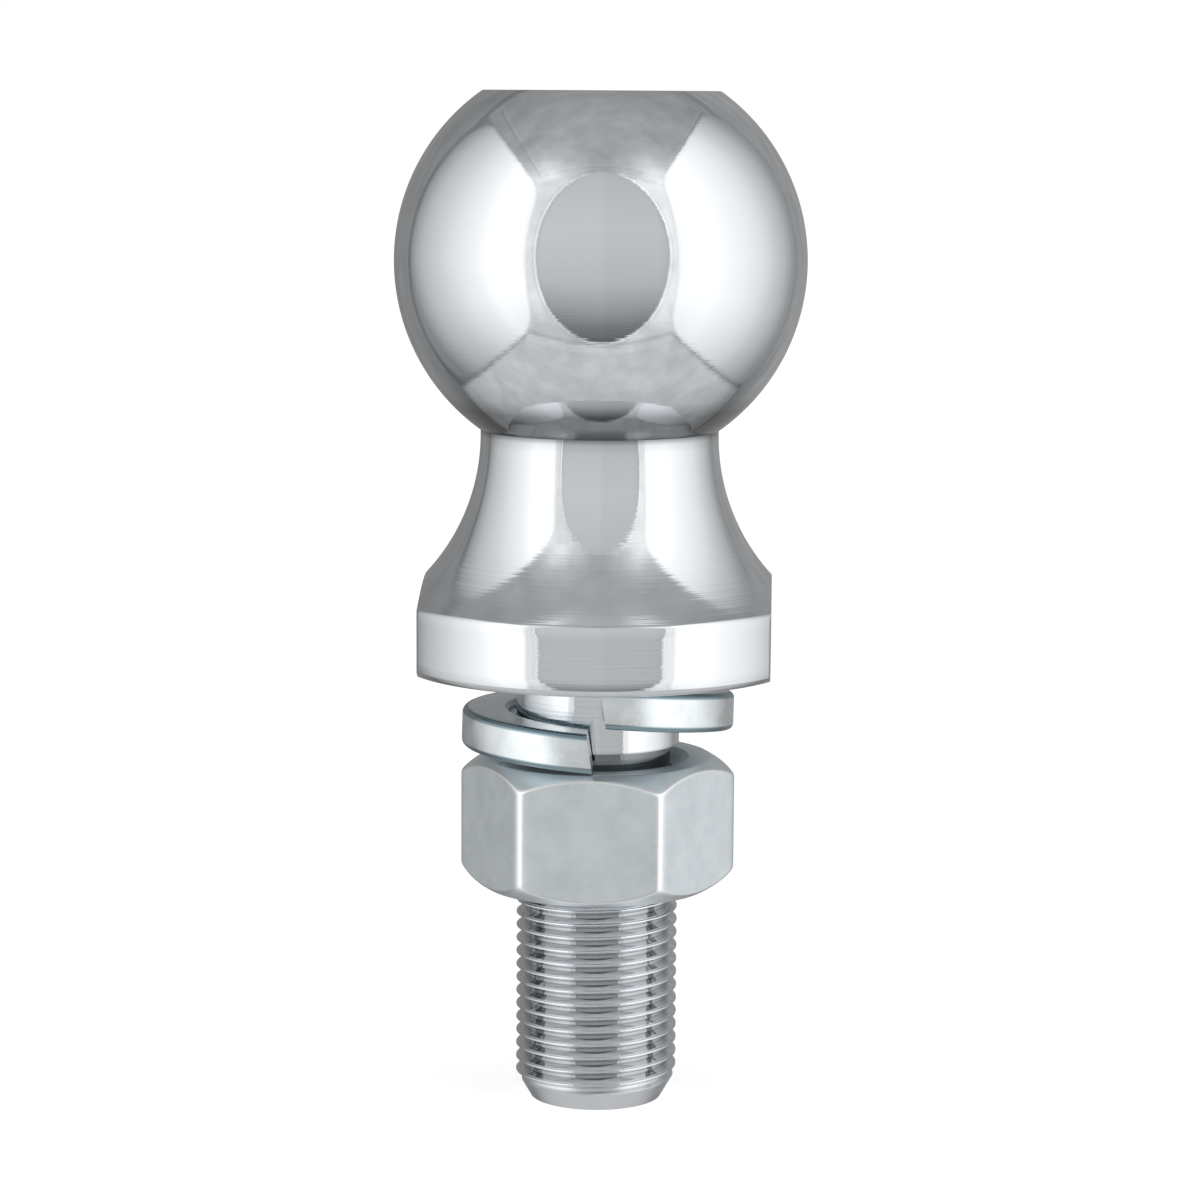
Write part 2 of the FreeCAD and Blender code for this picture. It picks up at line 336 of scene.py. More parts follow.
def turned_chrome_plate(finishes, sizes):
    """Chrome plate over turned and polished steel: a bright, barely blue mirror. The tool's fine
    rings stretch it up and down, strongest below the ball, and the polishing leaves it faintly
    wavy. Its colour carries painted shade in the thread's grooves, in the relief and in the corner
    above the neck, and two ragged streaks of painted dark reflection down the thread."""
    material, tree = new_material("turned_chrome_plate")
    place = add_node(tree, "ShaderNodeTexCoord").outputs["Object"]
    parts = add_node(tree, "ShaderNodeSeparateXYZ", links={0: place}).outputs
    point = (sizes.thread_radius - sizes.point_radius) * POINT_SLOPE
    relief, plain, base = sizes.relief_from, sizes.shank_plain_from, sizes.shank_length
    rim_top, flare_top, neck_top, _ = forging_heights(sizes)

    # Rings 0.3 mm apart, coarser than the real tool marks, so that they show in the render
    rings_place = add_node(tree, "ShaderNodeMapping", links={
        "Vector": place, "Scale": (45, 45, 3600),
    })
    rings = add_node(tree, "ShaderNodeTexNoise", links={
        "Vector": rings_place, "Scale": 1.0, "Detail": 2.0, "Roughness": 0.6,
    })
    ringed = greys(tree, parts["Z"], [
        (0, 0.2), (point, 0.2), (point + 0.2 * MM, 0.06), (relief, 0.06), (plain, 1.0),
        (base, 1.0), (base + 0.1 * MM, 0.9), (rim_top, 0.9), (rim_top + 0.4 * MM, 1.0),
        (rim_top + 8.7 * MM, 0.7), (flare_top, 0.4), (neck_top + 0.7 * MM, 0.3),
        (neck_top + 21 * MM, 0.2), (neck_top + 41 * MM, 0.15),
    ])
    # Waves of the polishing, 6 mm across
    waves = add_node(tree, "ShaderNodeTexNoise", links={
        "Vector": place, "Scale": 170.0, "Detail": 3.0, "Roughness": 0.5, "Distortion": 0.6,
    })
    ring_bump = add_node(tree, "ShaderNodeBump", links={
        "Height": rings, "Strength": ringed, "Distance": 0.016 * MM,
    })
    wave_bump = add_node(tree, "ShaderNodeBump", links={
        "Height": waves, "Strength": 1.0, "Distance": 0.012 * MM, "Normal": ring_bump,
    })
    # Polished last on the ball and least on the flare's foot, and not at all on the shank's point
    polish = greys(tree, parts["Z"], [
        (point - 0.4 * MM, 0.3), (point, 0.035), (rim_top - 0.3 * MM, 0.035),
        (rim_top + 0.7 * MM, 0.14), (rim_top + 4.7 * MM, 0.08), (rim_top + 8.7 * MM, 0.045),
        (rim_top + 14.7 * MM, 0.035),
    ])
    uneven = greys(tree, waves, [(0.3, 0), (0.7, 0.04)])
    haze = add_node(tree, "ShaderNodeMath", {"operation": "ADD"}, {0: uneven, 1: polish})

    # Painted shade in the relief and in the corner between the neck and the ball
    corner = greys(tree, parts["Z"], [
        (relief, 1.0), (relief + 0.4 * MM, 0.3), (plain - 0.1 * MM, 0.3), (plain + 0.2 * MM, 1.0),
        (flare_top - 1.0 * MM, 1.0), (flare_top, 0.85), (neck_top - 0.1 * MM, 0.42),
        (neck_top + 2.7 * MM, 0.45), (neck_top + 4.5 * MM, 0.88), (neck_top + 6.4 * MM, 1.0),
    ])
    flat = add_node(tree, "ShaderNodeCombineXYZ", links={0: parts["X"], 1: parts["Y"]})
    radius = add_node(tree, "ShaderNodeVectorMath", {"operation": "LENGTH"}, {0: flat})
    depths = radius.outputs["Value"]
    crest, root = sizes.thread_radius, sizes.thread_radius - sizes.thread_depth
    # Painted shade in the thread's grooves, darker towards the roots
    groove = greys(tree, depths, [(root, 0.6), (root + 0.21 * MM, 0.9), (crest - 0.26 * MM, 1.0)])
    # Two ragged columns of painted dark reflection down the grooves, at their azimuths and half widths
    # in degrees
    outward = add_node(tree, "ShaderNodeVectorMath", {"operation": "NORMALIZE"}, {0: flat})
    columns = []
    for azimuth, half in ((-50, 9), (51, 5)):
        toward = (math.sin(math.radians(azimuth)), -math.cos(math.radians(azimuth)), 0)
        facing = add_node(tree, "ShaderNodeVectorMath", {"operation": "DOT_PRODUCT"}, {
            0: outward, 1: toward,
        })
        outside, inside = [math.cos(math.radians(half * share)) for share in (1.5, 0.5)]
        columns.append(greys(tree, facing.outputs["Value"], [(outside, 0), (inside, 1)]))
    column = add_node(tree, "ShaderNodeMath", {"operation": "MAXIMUM"}, dict(enumerate(columns)))
    # Flecks 1 mm across, which break up the painted streaks
    flecks = add_node(tree, "ShaderNodeTexNoise", links={
        "Vector": place, "Scale": 900.0, "Detail": 2.0, "Roughness": 0.6,
    })
    streak_level = add_node(tree, "ShaderNodeMath", {"operation": "ADD"}, {0: column, 1: flecks})
    painted_streak_mask = greys(tree, streak_level, [(1.35, 0), (1.5, 1)])
    # The painted streaks are darkest deep in the grooves
    deep = greys(tree, depths, [(crest - 0.36 * MM, 0.35), (crest - 0.16 * MM, 1)])
    painted_streak_shade = add_node(tree, "ShaderNodeMath", {"operation": "MULTIPLY"}, {0: groove, 1: deep})
    painted_groove_shade = add_node(tree, "ShaderNodeMix", {"data_type": "RGBA"}, {
        0: painted_streak_mask, 6: groove, 7: painted_streak_shade,
    })
    threaded = greys(tree, parts["Z"], [
        (point - 0.4 * MM, 0), (point + 0.6 * MM, 1),
        (relief - 0.5 * MM, 1), (relief - 0.1 * MM, 0),
    ])
    # Painted shade: that of the grooves and streaks inside the thread, and that of the relief and the
    # corner elsewhere
    wear_and_painted_shade = add_node(tree, "ShaderNodeMix", {"data_type": "RGBA"}, {
        0: threaded, 6: corner, 7: painted_groove_shade.outputs[2],
    })
    plate = add_node(tree, "ShaderNodeMix", {"data_type": "RGBA", "blend_type": "MULTIPLY"}, {
        0: 1.0, 6: tuple(finishes.chrome), 7: wear_and_painted_shade.outputs[2],
    })
    shader = add_node(tree, "ShaderNodeBsdfPrincipled", links={
        "Base Color": plate.outputs[2], "Metallic": 1.0, "Roughness": haze, "Normal": wave_bump,
    })
    add_node(tree, "ShaderNodeOutputMaterial", links={"Surface": shader})
    return material


def bright_zinc_plate(finishes):
    """Bright zinc plate over rolled spring wire: a cool, slightly clouded shine, with painted shade
    on the wire's rounded corners."""
    material, tree = new_material("bright_zinc_plate")
    place = add_node(tree, "ShaderNodeTexCoord").outputs["Object"]
    # Clouds 2.4 mm across and grain of 0.4 mm
    clouds = add_node(tree, "ShaderNodeTexNoise", links={
        "Vector": place, "Scale": 420.0, "Detail": 4.0, "Roughness": 0.6,
    })
    grain = add_node(tree, "ShaderNodeTexNoise", links={
        "Vector": place, "Scale": 2600.0, "Detail": 2.0, "Roughness": 0.6,
    })
    grain_bump = add_node(tree, "ShaderNodeBump", links={
        "Height": grain, "Strength": 1.0, "Distance": 0.006 * MM,
    })
    tint = add_node(tree, "ShaderNodeMapRange", links={
        "Value": clouds, "From Min": 0.3, "From Max": 0.7, "To Min": 0.82, "To Max": 1.0,
    })
    base = add_node(tree, "ShaderNodeMix", {"data_type": "RGBA", "blend_type": "MULTIPLY"}, {
        0: 1.0, 6: tuple(finishes.washer_zinc), 7: tint,
    })
    rounding = add_node(tree, "ShaderNodeAttribute", {"attribute_name": "rounding"}).outputs["Fac"]
    # Painted shade on the rounded corners of the section
    edge_shaded = add_node(tree, "ShaderNodeMix", {"data_type": "RGBA"}, {
        0: rounding, 6: base.outputs[2], 7: tuple(finishes.edge_shade),
    })
    haze = add_node(tree, "ShaderNodeMapRange", links={
        "Value": clouds, "From Min": 0.3, "From Max": 0.7, "To Min": 0.22, "To Max": 0.32,
    })
    shader = add_node(tree, "ShaderNodeBsdfPrincipled", links={
        "Base Color": edge_shaded.outputs[2], "Metallic": 1.0, "Roughness": haze, "Normal": grain_bump,
    })
    add_node(tree, "ShaderNodeOutputMaterial", links={"Surface": shader})
    return material


def dull_zinc_plate(finishes):
    """Dull zinc plate over a hot-forged nut: a soft blue-grey sheen with fine grain and mottling,
    rubbed bright along its edges."""
    material, tree = new_material("dull_zinc_plate")
    place = add_node(tree, "ShaderNodeTexCoord").outputs["Object"]
    # Mottling 4 mm across and grain of 0.3 mm
    mottle = add_node(tree, "ShaderNodeTexNoise", links={
        "Vector": place, "Scale": 260.0, "Detail": 5.0, "Roughness": 0.65,
    })
    grain = add_node(tree, "ShaderNodeTexNoise", links={
        "Vector": place, "Scale": 3200.0, "Detail": 2.0, "Roughness": 0.6,
    })
    grain_bump = add_node(tree, "ShaderNodeBump", links={
        "Height": grain, "Strength": 1.0, "Distance": 0.01 * MM,
    })
    tint = add_node(tree, "ShaderNodeMapRange", links={
        "Value": mottle, "From Min": 0.3, "From Max": 0.7, "To Min": 0.86, "To Max": 1.0,
    })
    base = add_node(tree, "ShaderNodeMix", {"data_type": "RGBA", "blend_type": "MULTIPLY"}, {
        0: 1.0, 6: tuple(finishes.nut_zinc), 7: tint,
    })
    edges = add_node(tree, "ShaderNodeAttribute", {"attribute_name": "edge_wear"}).outputs["Fac"]
    # Nicks 0.3 mm across
    nicks = add_node(tree, "ShaderNodeTexNoise", links={
        "Vector": place, "Scale": 3000.0, "Detail": 3.0, "Roughness": 0.7,
    })
    nicked = greys(tree, nicks, [(0.3, 0), (0.7, 1)])
    wear_and_painted_shade = add_node(tree, "ShaderNodeMath", {"operation": "ADD"}, {0: edges, 1: nicked})
    wear_and_painted_shade = greys(tree, wear_and_painted_shade, [(0.75, 0), (1.1, 1)])
    edged = add_node(tree, "ShaderNodeMix", {"data_type": "RGBA"}, {
        0: wear_and_painted_shade, 6: base.outputs[2], 7: tuple(finishes.bare_edge),
    })
    polish = greys(tree, wear_and_painted_shade, [(0, 0.4), (1, 0.3)])
    shader = add_node(tree, "ShaderNodeBsdfPrincipled", links={
        "Base Color": edged.outputs[2], "Metallic": 1.0, "Roughness": polish, "Normal": grain_bump,
    })
    add_node(tree, "ShaderNodeOutputMaterial", links={"Surface": shader})
    return material


# Pieces

class TOWBALL_OT_tow_ball(bpy.types.Operator):
    """Makes the ball, neck, flange and threaded shank, in one piece"""
    bl_idname = "towball.tow_ball"
    bl_label = "Tow Ball"

    def execute(self, context):
        sizes = context.scene.tow_ball
        turning = Turning([TURN * i / sizes.columns for i in range(sizes.columns)])
        self.add_thread(turning, sizes)
        turning.turn(self.shank_and_flange(sizes))
        self.mill_flats(turning, sizes)
        self.add_ball(turning, sizes)
        add_piece(
            "ball_and_shank", turning.mesh, "ball_and_shank", "tow_ball",
            turned_chrome_plate(context.scene.tow_ball_finishes, sizes),
        )
        return {"FINISHED"}

    def add_thread(self, turning, sizes):
        """The thread, cut back by the cone at the shank's end and by its run-out to the relief."""
        relief, full_relief = sizes.relief_radius, sizes.relief_from

        def radius_at(depth, height):
            threaded = sizes.thread_radius - sizes.thread_depth * depth
            pointed = sizes.point_radius + height / POINT_SLOPE
            run_out = relief + (full_relief - height)
            return min(threaded, pointed, run_out) if height < full_relief else relief

        turning.disc(sizes.point_radius, 0, -1)
        helical_skin(turning, sizes.thread_pitch, sizes.thread_start, 0, full_relief, radius_at)

    def shank_and_flange(self, sizes):
        """Profile from the relief up to the neck's top edge."""
        rim_top, flare_top, neck_top, _ = forging_heights(sizes)
        rim, base, chamfer = sizes.rim_radius, sizes.shank_length, sizes.rim_chamfer
        shank, plain_from, root = sizes.shank_radius, sizes.shank_plain_from, sizes.root_chamfer
        soft = sizes.rim_rounding
        flare_centre = (sizes.neck_radius + sizes.flare_radius, flare_top)
        foot = 180 + math.degrees(math.asin((flare_top - rim_top) / sizes.flare_radius))
        # The first of the flare's faces is split, so that the rim's edge doesn't bend its shading
        steps, parts = 44, 4
        split = foot + (180 - foot) / steps
        flare = [
            *arc(flare_centre, sizes.flare_radius, foot, split, parts)[:-1],
            *arc(flare_centre, sizes.flare_radius, split, 180, steps - 1),
        ]
        return [
            (sizes.relief_radius, sizes.relief_from),
            (sizes.relief_radius, sizes.relief_from + soft / 2),
            (sizes.relief_radius, plain_from),
            *line((shank, plain_from), (shank, base - root), 4),
            *line((shank + root, base), (rim - chamfer - soft / 2, base), 6),
            (rim - chamfer + soft / 3, base + soft / 3),
            (rim - soft / 3, base + chamfer - soft / 3),
            *line((rim, base + chamfer + soft / 2), (rim, rim_top - soft), 6),
            (rim - soft * 0.3, rim_top - soft * 0.2),
            *[p for p in flare if p[1] > rim_top + soft * 0.5],
            (sizes.neck_radius, neck_top),
        ]

    def mill_flats(self, turning, sizes):
        """Cuts the two wrench flats through the rim and the foot of the flare."""
        for side in (-1, 1):
            mesh = turning.mesh
            cut = bmesh.ops.bisect_plane(
                mesh, geom=[*mesh.verts, *mesh.edges, *mesh.faces], dist=1e-7,
                plane_co=(side * sizes.flat_distance, 0, 0), plane_no=(side, 0, 0), clear_outer=True,
            )
            edges = [part for part in cut["geom_cut"] if isinstance(part, bmesh.types.BMEdge)]
            bmesh.ops.edgeloop_fill(mesh, edges=edges)

    def add_ball(self, turning, sizes):
        """The sphere from the neck to its rounded top edge, and the top flat."""
        ball_centre = forging_heights(sizes)[-1]
        top = ball_centre + math.sqrt(sizes.ball_radius**2 - sizes.top_flat_radius**2)
        edge_height = top - sizes.top_edge_radius
        inner_reach = sizes.ball_radius - sizes.top_edge_radius
        edge_centre = math.sqrt(inner_reach**2 - (edge_height - ball_centre) ** 2)
        start = -math.degrees(math.acos(sizes.neck_radius / sizes.ball_radius))
        end = math.degrees(math.asin((edge_height - ball_centre) / inner_reach))
        sphere = arc((0, ball_centre), sizes.ball_radius, start, end, 84)
        rounding = arc((edge_centre, edge_height), sizes.top_edge_radius, end, 90, 6)
        turning.turn([*sphere, *rounding[1:]])
        turning.disc(edge_centre, top, 1)


class TOWBALL_OT_spring_washer(bpy.types.Operator):
    """Makes the spring lock washer: one left-handed coil with slanted ends"""
    bl_idname = "towball.spring_washer"
    bl_label = "Spring Washer"

    def execute(self, context):
        sizes = context.scene.tow_ball_washer
        bottom = sizes.middle_height - (sizes.lead + sizes.thickness) / 2
        section = self.section(sizes)
        mean_radius = sizes.inner_radius + sizes.width / 2
        split = sizes.split_gap / mean_radius
        whole = TURN - split
        upper_top = bottom + sizes.lead * whole / TURN + sizes.thickness
        slant = math.tan(sizes.cut_angle)
        turned = sizes.split_turn - TURN / 4 - split / 2
        steps = 300
        mesh = bmesh.new()
        rounding = mesh.verts.layers.float.new("rounding")
        rings = []
        for step in range(steps + 1):
            ring = []
            for radius, height, rounded in section:
                lower = math.asin(slant * height / radius)
                low_height = bottom + height + sizes.lead * whole / TURN
                upper = whole - math.asin(slant * (upper_top - low_height) / radius)
                along = lower + (upper - lower) * step / steps
                angle, risen = turned - along, sizes.lead * along / TURN
                vert = mesh.verts.new((
                    radius * math.cos(angle), radius * math.sin(angle), bottom + height + risen,
                ))
                vert[rounding] = float(rounded)
                ring.append(vert)
            rings.append(ring)
        count = len(section)
        for ring, following in zip(rings, rings[1:]):
            for i in range(count):
                j = (i + 1) % count
                mesh.faces.new([ring[i], ring[j], following[j], following[i]])
        mesh.faces.new(rings[0])
        mesh.faces.new(rings[-1][::-1])
        axis = Vector((-math.cos(sizes.tilt_turn), math.sin(sizes.tilt_turn), 0))
        middle = Vector((0, 0, sizes.middle_height))
        bmesh.ops.rotate(
            mesh, cent=middle, matrix=Matrix.Rotation(sizes.tilt, 3, axis), verts=mesh.verts,
        )
        add_piece(
            "lock_washer", mesh, "washer", "spring_washer",
            bright_zinc_plate(context.scene.tow_ball_finishes),
        )
        return {"FINISHED"}

    def section(self, sizes):
        """The coil's section as (radius, height, whether it is in a corner's rounding) points."""
        corner, steps = sizes.corner_radius, 6
        left, right = sizes.inner_radius + corner, sizes.inner_radius + sizes.width - corner
        low, high = corner, sizes.thickness - corner
        points = []
        for i, centre in enumerate([(right, low), (right, high), (left, high), (left, low)]):
            bend = arc(centre, corner, 90 * (i - 1), 90 * i, steps)
            points += [(*point, 0 < step < steps) for step, point in enumerate(bend)]
        return points


class TOWBALL_OT_hex_nut(bpy.types.Operator):
    """Makes the hexagon nut with its chamfers and inside thread"""
    bl_idname = "towball.hex_nut"
    bl_label = "Hexagon Nut"

    def execute(self, context):
        sizes = context.scene.tow_ball_nut
        forging = context.scene.tow_ball
        low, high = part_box("hex_nut")
        bottom, top = low[2], high[2]
        angles = self.angles(sizes)
        turning = Turning(angles)
        outer = forging.thread_radius + sizes.thread_clearance
        mouth = outer + sizes.countersink

        def bore_at(depth, height):
            inside = outer - forging.thread_depth * depth
            sunk = mouth - min(height - bottom, top - height)
            return max(inside, sunk)

        helical_skin(turning, forging.thread_pitch, forging.thread_start, bottom, top, bore_at)
        heights = self.rows(sizes, bottom, top)

        def wall_at(column, row):
            """The bearing faces' inner edges first and last, and the outside between them."""
            if row == 0:
                return mouth, bottom
            if row == len(heights) + 1:
                return mouth, top
            angle, height = angles[column % len(angles)], heights[row - 1]
            return self.outside(sizes, angle, height, bottom, top), height

        turning.skin(wall_at, len(heights) + 2)
        wear = turning.mesh.verts.layers.float.new("edge_wear")
        for vert in turning.mesh.verts:
            vert[wear] = self.wear(sizes, vert.co, bottom, top)
        add_piece(
            "nut", turning.mesh, "nut", "hex_nut",
            dull_zinc_plate(context.scene.tow_ball_finishes), sharp_angle=40,
        )
        return {"FINISHED"}

    def angles(self, sizes):
        """Directions of the columns, closer together at the six corners."""
        columns, crowding, sector = 60, 0.55, TURN / 6
        angles = []
        for face in range(6):
            middle = sizes.face_turn + sector * (face + 0.5)
            for i in range(columns):
                across = 2 * i / columns - 1
                crowded = (1 - crowding) * across + crowding * math.sin(across * math.pi / 2)
                angles.append(middle + crowded * sector / 2)
        return angles

    def rows(self, sizes, bottom, top):
        """Heights of the wall's rows, closer together over the two chamfers."""
        steps, middle_steps = 34, 6
        reach = sizes.chamfer_depth * 1.05
        foot = [bottom + reach * i / steps for i in range(steps + 1)]
        head = [bottom + top - height for height in reversed(foot)]
        rise = (head[0] - foot[-1]) / middle_steps
        return foot + [foot[-1] + rise * i for i in range(1, middle_steps)] + head

    def hexagon(self, sizes, angle):
        """Radius of the hexagon at an angle, with a narrow facet along each corner. The power sum
        of the distances to the sides gives the nearest one, a little softened where two meet."""
        sharpness, reach, sector = 110, sizes.width / 2, TURN / 6
        turned = angle - sizes.face_turn
        facet = reach / sizes.corner_reach
        flats = [abs(math.cos(turned - sector * (i + 0.5))) for i in range(3)]
        corners = [abs(math.cos(turned - sector * i)) * facet for i in range(3)]
        return reach / sum(side**sharpness for side in flats + corners) ** (1 / sharpness)

    def chamfer(self, sizes, height, bottom, top):
        """Radius of the rounded chamfers at a height, and how fast it grows with it. Past them it
        grows on, so that it never cuts the flats."""
        bearing = sizes.width / 2 - sizes.chamfer_inset
        reach, depth = sizes.corner_reach - bearing, sizes.chamfer_depth
        into = min(height - bottom, top - height)
        left = max(1 - into / depth, 0)
        slope = 1 / math.tan(sizes.chamfer_angle)
        power = slope * depth / reach
        radius = bearing + reach * (1 - left**power) + max(into - depth, 0)
        return radius, slope * left ** (power - 1)

    def outside(self, sizes, angle, height, bottom, top):
        """Radius of the nut at an angle and a height: its hexagon, softened where the chamfers
        cut it."""
        hexagon = self.hexagon(sizes, angle)
        chamfer, _ = self.chamfer(sizes, height, bottom, top)
        soft = sizes.edge_softness
        overlap = max(soft - abs(hexagon - chamfer), 0) / soft
        return min(hexagon, chamfer) - overlap * overlap * soft / 4

    def wear(self, sizes, place, bottom, top):
        """How rubbed a spot is: 1 on an edge of the outside, and 0 away from it or in the bore."""
        corner_band, chamfer_band, least_slope = 0.7 * MM, 0.4 * MM, 0.35
        radius = math.hypot(place.x, place.y)
        if radius < sizes.width / 2 - sizes.chamfer_inset - sizes.edge_softness:
            return 0
        angle = math.atan2(place.y, place.x)
        sector = TURN / 6
        aside = (angle - sizes.face_turn + sector / 2) % sector - sector / 2
        chamfer, slope = self.chamfer(sizes, place.z, bottom, top)
        below_chamfer = chamfer - self.hexagon(sizes, angle)
        from_corner = abs(aside) * radius / corner_band if below_chamfer > 0 else 1
        from_chamfer = abs(below_chamfer) / max(slope, least_slope) / chamfer_band
        return max(1 - min(from_corner, from_chamfer), 0)


# Stage

class TOWBALL_OT_stage(bpy.types.Operator):
    """Makes the floor, the studio surroundings and the camera"""
    bl_idname = "towball.stage"
    bl_label = "Stage"

    def execute(self, context):
        finishes = context.scene.tow_ball_finishes
        self.add_camera(context.scene)
        self.add_floor(finishes)
        self.add_studio(context.scene)
        context.scene.view_settings.view_transform = "Standard"
        return {"FINISHED"}

    def add_camera(self, scene):
        """A long lens level with the ball's top, looking down a little."""
        side = CAMERA_SIDE
        distance, height = 416 * MM, 117.7 * MM
        tilt, lean, aim = math.radians(81.984), math.radians(0.37), math.radians(-0.022)
        data = bpy.data.cameras.new("camera")
        data.lens, data.sensor_width = 108, 36
        data.clip_start, data.clip_end = 0.01, 100
        camera = bpy.data.objects.new("camera", data)
        scene.collection.objects.link(camera)
        turns = ((side + aim, "Z"), (tilt, "X"), (lean, "Z"))
        pose = Matrix.Translation((distance * math.sin(side), -distance * math.cos(side), height))
        for angle, axis in turns:
            pose = pose @ Matrix.Rotation(angle, 4, axis)
        camera.matrix_world = pose
        scene.camera = camera

    def add_floor(self, finishes):
        """A wide pale floor just under the shank's end, which reflections look past. To the camera
        it glows a little, so that it runs into the white background."""
        width, thickness, glow_strength = 6.0, 0.002, 0.55
        mesh = bmesh.new()
        bmesh.ops.create_cube(mesh, size=1.0, matrix=Matrix.Diagonal((width, width, thickness, 1)))
        data = bpy.data.meshes.new("floor")
        mesh.to_mesh(data)
        mesh.free()
        floor = bpy.data.objects.new("floor", data)
        floor.location = (0, 0, -thickness / 2)
        floor.visible_glossy = False
        bpy.context.collection.objects.link(floor)
        material, tree = new_material("pale_matt_floor")
        seen = add_node(tree, "ShaderNodeLightPath").outputs["Is Camera Ray"]
        own_light = add_node(tree, "ShaderNodeMath", {"operation": "MULTIPLY"}, {
            0: seen, 1: glow_strength,
        })
        glow = add_node(tree, "ShaderNodeEmission", links={
            "Color": (1, 1, 1, 1), "Strength": own_light,
        })
        matt = add_node(tree, "ShaderNodeBsdfDiffuse", links={"Color": tuple(finishes.floor)})
        both = add_node(tree, "ShaderNodeAddShader", links={0: glow, 1: matt})
        add_node(tree, "ShaderNodeOutputMaterial", links={"Surface": both})
        data.materials.append(material)

    def add_studio(self, scene):
        """A light tent round the ball: a soft box at each side, grey behind, above and below, and a
        white front with a tall opening for the lens. The camera itself sees white."""
        world = bpy.data.worlds.new("light_tent")
        scene.world = world
        world.use_nodes = True
        tree = world.node_tree
        tree.nodes.clear()
        place = add_node(tree, "ShaderNodeTexCoord").outputs["Generated"]
        direction = add_node(tree, "ShaderNodeVectorRotate", {"rotation_type": "Z_AXIS"}, {
            "Vector": place, "Angle": -CAMERA_SIDE,
        })
        cloth = self.room(tree, direction)
        lit = self.soft_boxes(tree, direction, cloth)
        opened = self.front_opening(tree, direction, lit)
        seen = add_node(tree, "ShaderNodeLightPath").outputs["Is Camera Ray"]
        shown = add_node(tree, "ShaderNodeMix", {"data_type": "RGBA"}, {
            0: seen, 6: opened, 7: (1, 1, 1, 1),
        })
        light = add_node(tree, "ShaderNodeBackground", links={
            "Color": shown.outputs[2], "Strength": 1.0,
        })
        add_node(tree, "ShaderNodeOutputWorld", links={"Surface": light})

    def room(self, tree, direction):
        """The tent's cloth, as on the sides of a box: its upright walls, its ceiling and its floor.
        Depth runs from the front (-1) to the back (1), side from left to right, across from the
        middle to a side, and level up the walls."""
        parts = add_node(tree, "ShaderNodeSeparateXYZ", links={0: direction}).outputs
        beside, along, height = [
            add_node(tree, "ShaderNodeMath", {"operation": "ABSOLUTE"}, {0: part}) for part in parts
        ]
        upright = add_node(tree, "ShaderNodeMath", {"operation": "MAXIMUM"}, {0: beside, 1: along})
        out = add_node(tree, "ShaderNodeMath", {"operation": "MAXIMUM"}, {0: upright, 1: height})
        shares = ((parts["Z"], upright), (parts["Y"], out), (parts["X"], out), (beside, out))
        level, depth, side, across = [
            add_node(tree, "ShaderNodeMath", {"operation": "DIVIDE"}, {0: part, 1: whole})
            for part, whole in shares
        ]
        walls = greys(tree, depth, [
            (-1, 1.0), (-0.7, 1.0), (0.0, 0.5), (0.55, 0.31), (0.86, 0.22), (0.96, 0.22), (1, 0.3),
        ])
        lower = greys(tree, level, [(-1.0, 0.7), (-0.75, 0.74), (-0.4, 1.0), (1.0, 1.0)])
        sided = greys(tree, side, [
            (-1, 0.95), (-0.5, 0.88), (-0.2, 0.84), (0.2, 1.12), (0.5, 1.16), (1, 1.05),
        ])
        for shade in (lower, sided):
            walls = add_node(tree, "ShaderNodeVectorMath", {"operation": "MULTIPLY"}, {
                0: walls, 1: shade,
            })
        floor = greys(tree, depth, [
            (-1, 0.72), (-0.86, 0.7), (-0.83, 0.6), (-0.8, 0.66), (0.2, 0.62), (0.6, 0.5),
            (0.95, 0.32), (1, 0.27),
        ])
        dull = greys(tree, depth, [
            (-1, 0.5), (-0.7, 0.48), (-0.3, 0.44), (0, 0.42), (0.3, 0.36), (1, 0.3),
        ])
        # The ceiling's front corners catch light from the soft boxes
        forward = greys(tree, depth, [(-0.85, 1), (-0.7, 0.9), (-0.4, 0.25), (-0.2, 0)])
        cornered = greys(tree, across, [(0.1, 0), (0.3, 0.35), (0.55, 1.0), (0.8, 1.0), (0.95, 0.7)])
        catch = add_node(tree, "ShaderNodeMath", {"operation": "MULTIPLY"}, {0: forward, 1: cornered})
        ceiling = add_node(tree, "ShaderNodeMix", {"data_type": "RGBA"}, {
            0: catch, 6: dull, 7: (1.05, 1.05, 1.05, 1),
        })
        above = greys(tree, level, [(1.14, 0), (1.26, 1)])
        below = greys(tree, level, [(-0.97, 1), (-0.93, 0)])
        covered = add_node(tree, "ShaderNodeMix", {"data_type": "RGBA"}, {
            0: above, 6: walls, 7: ceiling.outputs[2],
        })
        cloth = add_node(tree, "ShaderNodeMix", {"data_type": "RGBA"}, {
            0: below, 6: covered.outputs[2], 7: floor,
        }).outputs[2]
        seams = greys(tree, level, [
            (-1.2, 1.0), (-1.0, 1.0), (-0.95, 0.72), (-0.9, 1.0), (1.16, 1.0), (1.2, 0.85),
            (1.24, 1.0), (1.4, 1.0), (1.45, 0.8), (1.48, 1.15), (1.52, 1.0),
        ])
        clouds = add_node(tree, "ShaderNodeTexNoise", links={
            "Vector": direction, "Scale": 6.0, "Detail": 4.0, "Roughness": 0.6,
        })
        uneven = greys(tree, clouds, [(0.3, 0.86), (0.7, 1.12)])
        for shade in (seams, uneven):
            cloth = add_node(tree, "ShaderNodeVectorMath", {"operation": "MULTIPLY"}, {
                0: cloth, 1: shade,
            })
        return cloth

